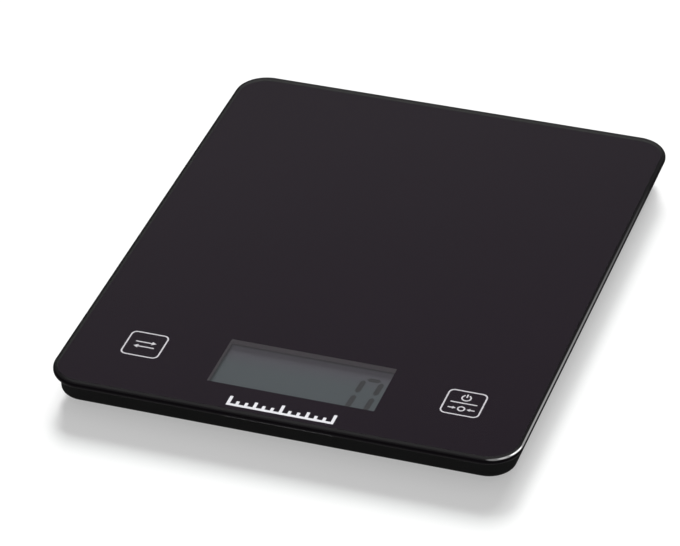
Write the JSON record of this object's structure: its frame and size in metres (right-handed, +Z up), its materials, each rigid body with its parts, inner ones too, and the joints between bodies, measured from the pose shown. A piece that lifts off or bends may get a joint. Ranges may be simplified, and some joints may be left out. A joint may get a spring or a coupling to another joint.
{
  "type": "kitchen scale",
  "caption": "Slim electronic kitchen scale: rectangular glass platter on a shallow casing with touch keys, a display window and sprung load-cell feet.",
  "frame": {"origin": "on the table, under the middle of the platter", "axes": "+Z up, +Y to the back, +X to the right of a person who reads the display at -Y"},
  "size_m": [0.21, 0.258, 0.0163],
  "materials": {
    "platter_glass": "gloss",
    "black_ink": "gloss",
    "white_ink": "matte",
    "bright_ink": "matte",
    "adhesive_film": "matte",
    "frame_plastic": "matte",
    "casing_plastic": "satin",
    "gasket_foam": "matte",
    "polariser_film": "satin",
    "display_glass": "gloss",
    "reflector_film": "satin",
    "display_frame_plastic": "matte",
    "ribbon_film": "gloss",
    "board_laminate": "gloss",
    "chip_resin": "satin",
    "component_ceramic": "matte",
    "wire_insulation": "satin",
    "cell_steel": "satin",
    "contact_brass": "satin",
    "door_plastic": "matte",
    "spring_steel": "satin",
    "gauge_cover": "satin",
    "holder_plastic": "matte",
    "foot_plastic": "matte",
    "pad_rubber": "matte",
    "screw_steel": "satin",
    "label_film": "satin"
  },
  "bodies": {
    "platter_and_casing": {"glass_platter": "platter_glass", "back_print": "black_ink", "key_marks": "white_ink", "front_marks": "bright_ink", "bonding_tape": "adhesive_film", "upper_frame": "frame_plastic", "base_shell": "casing_plastic", "lcd_gasket": "gasket_foam", "lcd_front_polariser": "polariser_film", "lcd_glass": "display_glass", "lcd_reflector": "reflector_film", "lcd_frame": "display_frame_plastic", "lcd_ribbon": "ribbon_film", "main_pcb": "board_laminate", "chip_blob": "chip_resin", "smd_parts": "component_ceramic", "touch_pad_left": "board_laminate", "touch_pad_right": "board_laminate", "touch_lead_left": "wire_insulation", "touch_lead_right": "wire_insulation", "coin_cell": "cell_steel", "battery_contact_plus": "contact_brass", "battery_contact_minus": "contact_brass", "battery_leads": "wire_insulation", "case_screws": "screw_steel", "inner_screws": "screw_steel", "rating_label": "label_film", "load_cell_1": "spring_steel", "strain_gauge_1": "gauge_cover", "cell_holder_1": "holder_plastic", "cell_leads_1": "wire_insulation", "load_cell_2": "spring_steel", "strain_gauge_2": "gauge_cover", "cell_holder_2": "holder_plastic", "cell_leads_2": "wire_insulation", "load_cell_3": "spring_steel", "strain_gauge_3": "gauge_cover", "cell_holder_3": "holder_plastic", "cell_leads_3": "wire_insulation", "load_cell_4": "spring_steel", "strain_gauge_4": "gauge_cover", "cell_holder_4": "holder_plastic", "cell_leads_4": "wire_insulation"},
    "battery_door": {"battery_door": "door_plastic"},
    "foot_1": {"foot_cup_1": "foot_plastic", "foot_pad_1": "pad_rubber"},
    "foot_2": {"foot_cup_2": "foot_plastic", "foot_pad_2": "pad_rubber"},
    "foot_3": {"foot_cup_3": "foot_plastic", "foot_pad_3": "pad_rubber"},
    "foot_4": {"foot_cup_4": "foot_plastic", "foot_pad_4": "pad_rubber"}
  },
  "joints": [
    {"name": "battery_door_turn", "type": "hinge", "parent": "platter_and_casing", "child": "battery_door", "pos_m": [0, -0.008, 0.0042], "axis": [0, 0, -1], "range_deg": [0, 45]},
    {"name": "foot_1_travel", "type": "slide", "parent": "platter_and_casing", "child": "foot_1", "axis": [0, 0, 1], "range_m": [0, 0.0004], "stiffness_N_per_m": 300, "springref_m": -0.008, "deforming": ["load_cell_1"]},
    {"name": "foot_2_travel", "type": "slide", "parent": "platter_and_casing", "child": "foot_2", "axis": [0, 0, 1], "range_m": [0, 0.0004], "stiffness_N_per_m": 300, "springref_m": -0.008, "deforming": ["load_cell_2"]},
    {"name": "foot_3_travel", "type": "slide", "parent": "platter_and_casing", "child": "foot_3", "axis": [0, 0, 1], "range_m": [0, 0.0004], "stiffness_N_per_m": 300, "springref_m": -0.008, "deforming": ["load_cell_3"]},
    {"name": "foot_4_travel", "type": "slide", "parent": "platter_and_casing", "child": "foot_4", "axis": [0, 0, 1], "range_m": [0, 0.0004], "stiffness_N_per_m": 300, "springref_m": -0.008, "deforming": ["load_cell_4"]}
  ]
}
